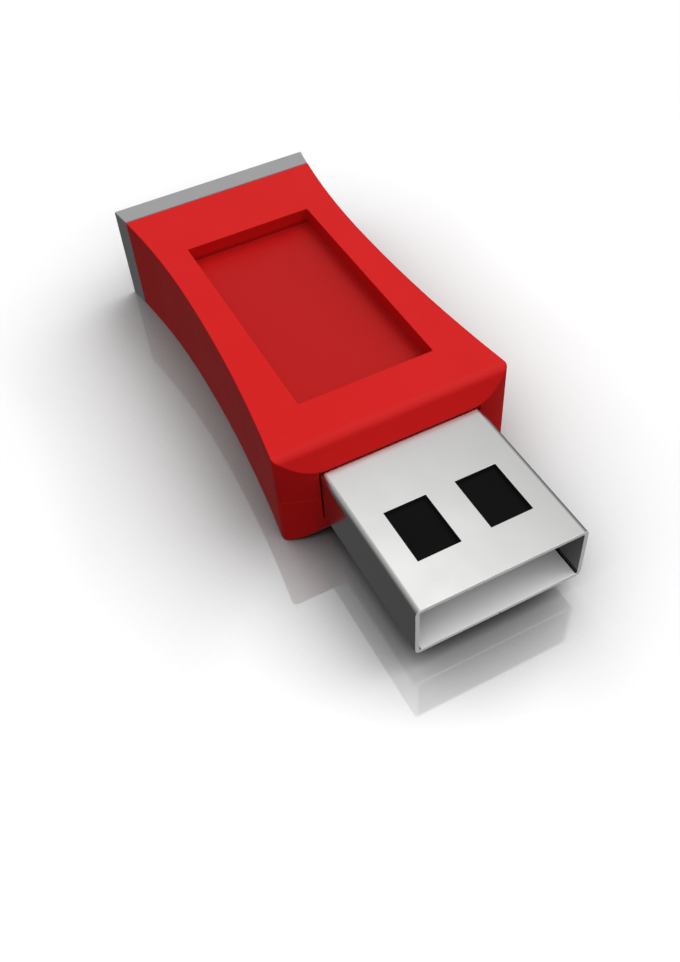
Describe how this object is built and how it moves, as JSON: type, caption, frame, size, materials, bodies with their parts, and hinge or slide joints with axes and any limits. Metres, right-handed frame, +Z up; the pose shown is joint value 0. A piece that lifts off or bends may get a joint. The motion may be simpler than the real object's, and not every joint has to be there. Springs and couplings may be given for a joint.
{
  "type": "usb flash drive",
  "caption": "Waisted USB flash drive with a steel plug, a label recess, two moulded shells and a push-in rear cap over a full circuit board.",
  "frame": {"origin": "centre of the bottom of the whole drive, plug included, on the surface it lies on", "axes": "+Z up through the thickness, +Y along the length towards the rear cap (the plug points along -Y), +X to the right seen from the plug's mouth"},
  "size_m": [0.0174, 0.044, 0.008],
  "materials": {
    "red_plastic": "satin moulded ABS",
    "grey_plastic": "satin moulded ABS",
    "plug_steel": "nickel plated, fine rolled grain",
    "insulator_plastic": "black moulded insulator",
    "gold_plating": "gold plated",
    "board_green": "green solder mask",
    "chip_black": "black moulding compound",
    "tinned_metal": "bright tin plate",
    "solder": "bright solder",
    "crystal_ceramic": "dark ceramic",
    "crystal_metal": "plated lid",
    "capacitor_ceramic": "tan ceramic",
    "resistor_black": "black overglaze",
    "ferrite_grey": "sintered ferrite",
    "tantalum_yellow": "moulded yellow resin",
    "led_white": "white moulding",
    "led_clear": "tinted clear resin",
    "pad_gold": "gold flash"
  },
  "bodies": {
    "drive": {"upper_shell": "red_plastic", "lower_shell": "red_plastic", "plug_shell": "plug_steel", "plug_tongue": "insulator_plastic", "vbus_contact": "gold_plating", "data_minus_contact": "gold_plating", "data_plus_contact": "gold_plating", "ground_contact": "gold_plating", "circuit_board": "board_green", "contact_solder": "solder", "leg_solder": "solder", "memory_chip": "chip_black", "memory_leads": "tinned_metal", "controller_chip": "chip_black", "controller_leads": "tinned_metal", "suppressor": "chip_black", "suppressor_leads": "tinned_metal", "crystal_base": "crystal_ceramic", "crystal_lid": "crystal_metal", "capacitor_bodies": "capacitor_ceramic", "resistor_bodies": "resistor_black", "ferrite_bead": "ferrite_grey", "tantalum_capacitor": "tantalum_yellow", "component_terminals": "tinned_metal", "led_base": "led_white", "led_lens": "led_clear", "test_pads": "pad_gold"},
    "rear_cap": {"rear_cap": "grey_plastic"}
  },
  "joints": [
    {"name": "rear_cap_pull", "type": "slide", "parent": "drive", "child": "rear_cap", "axis": [0, 1, 0], "range_m": [0, 0.01]}
  ]
}
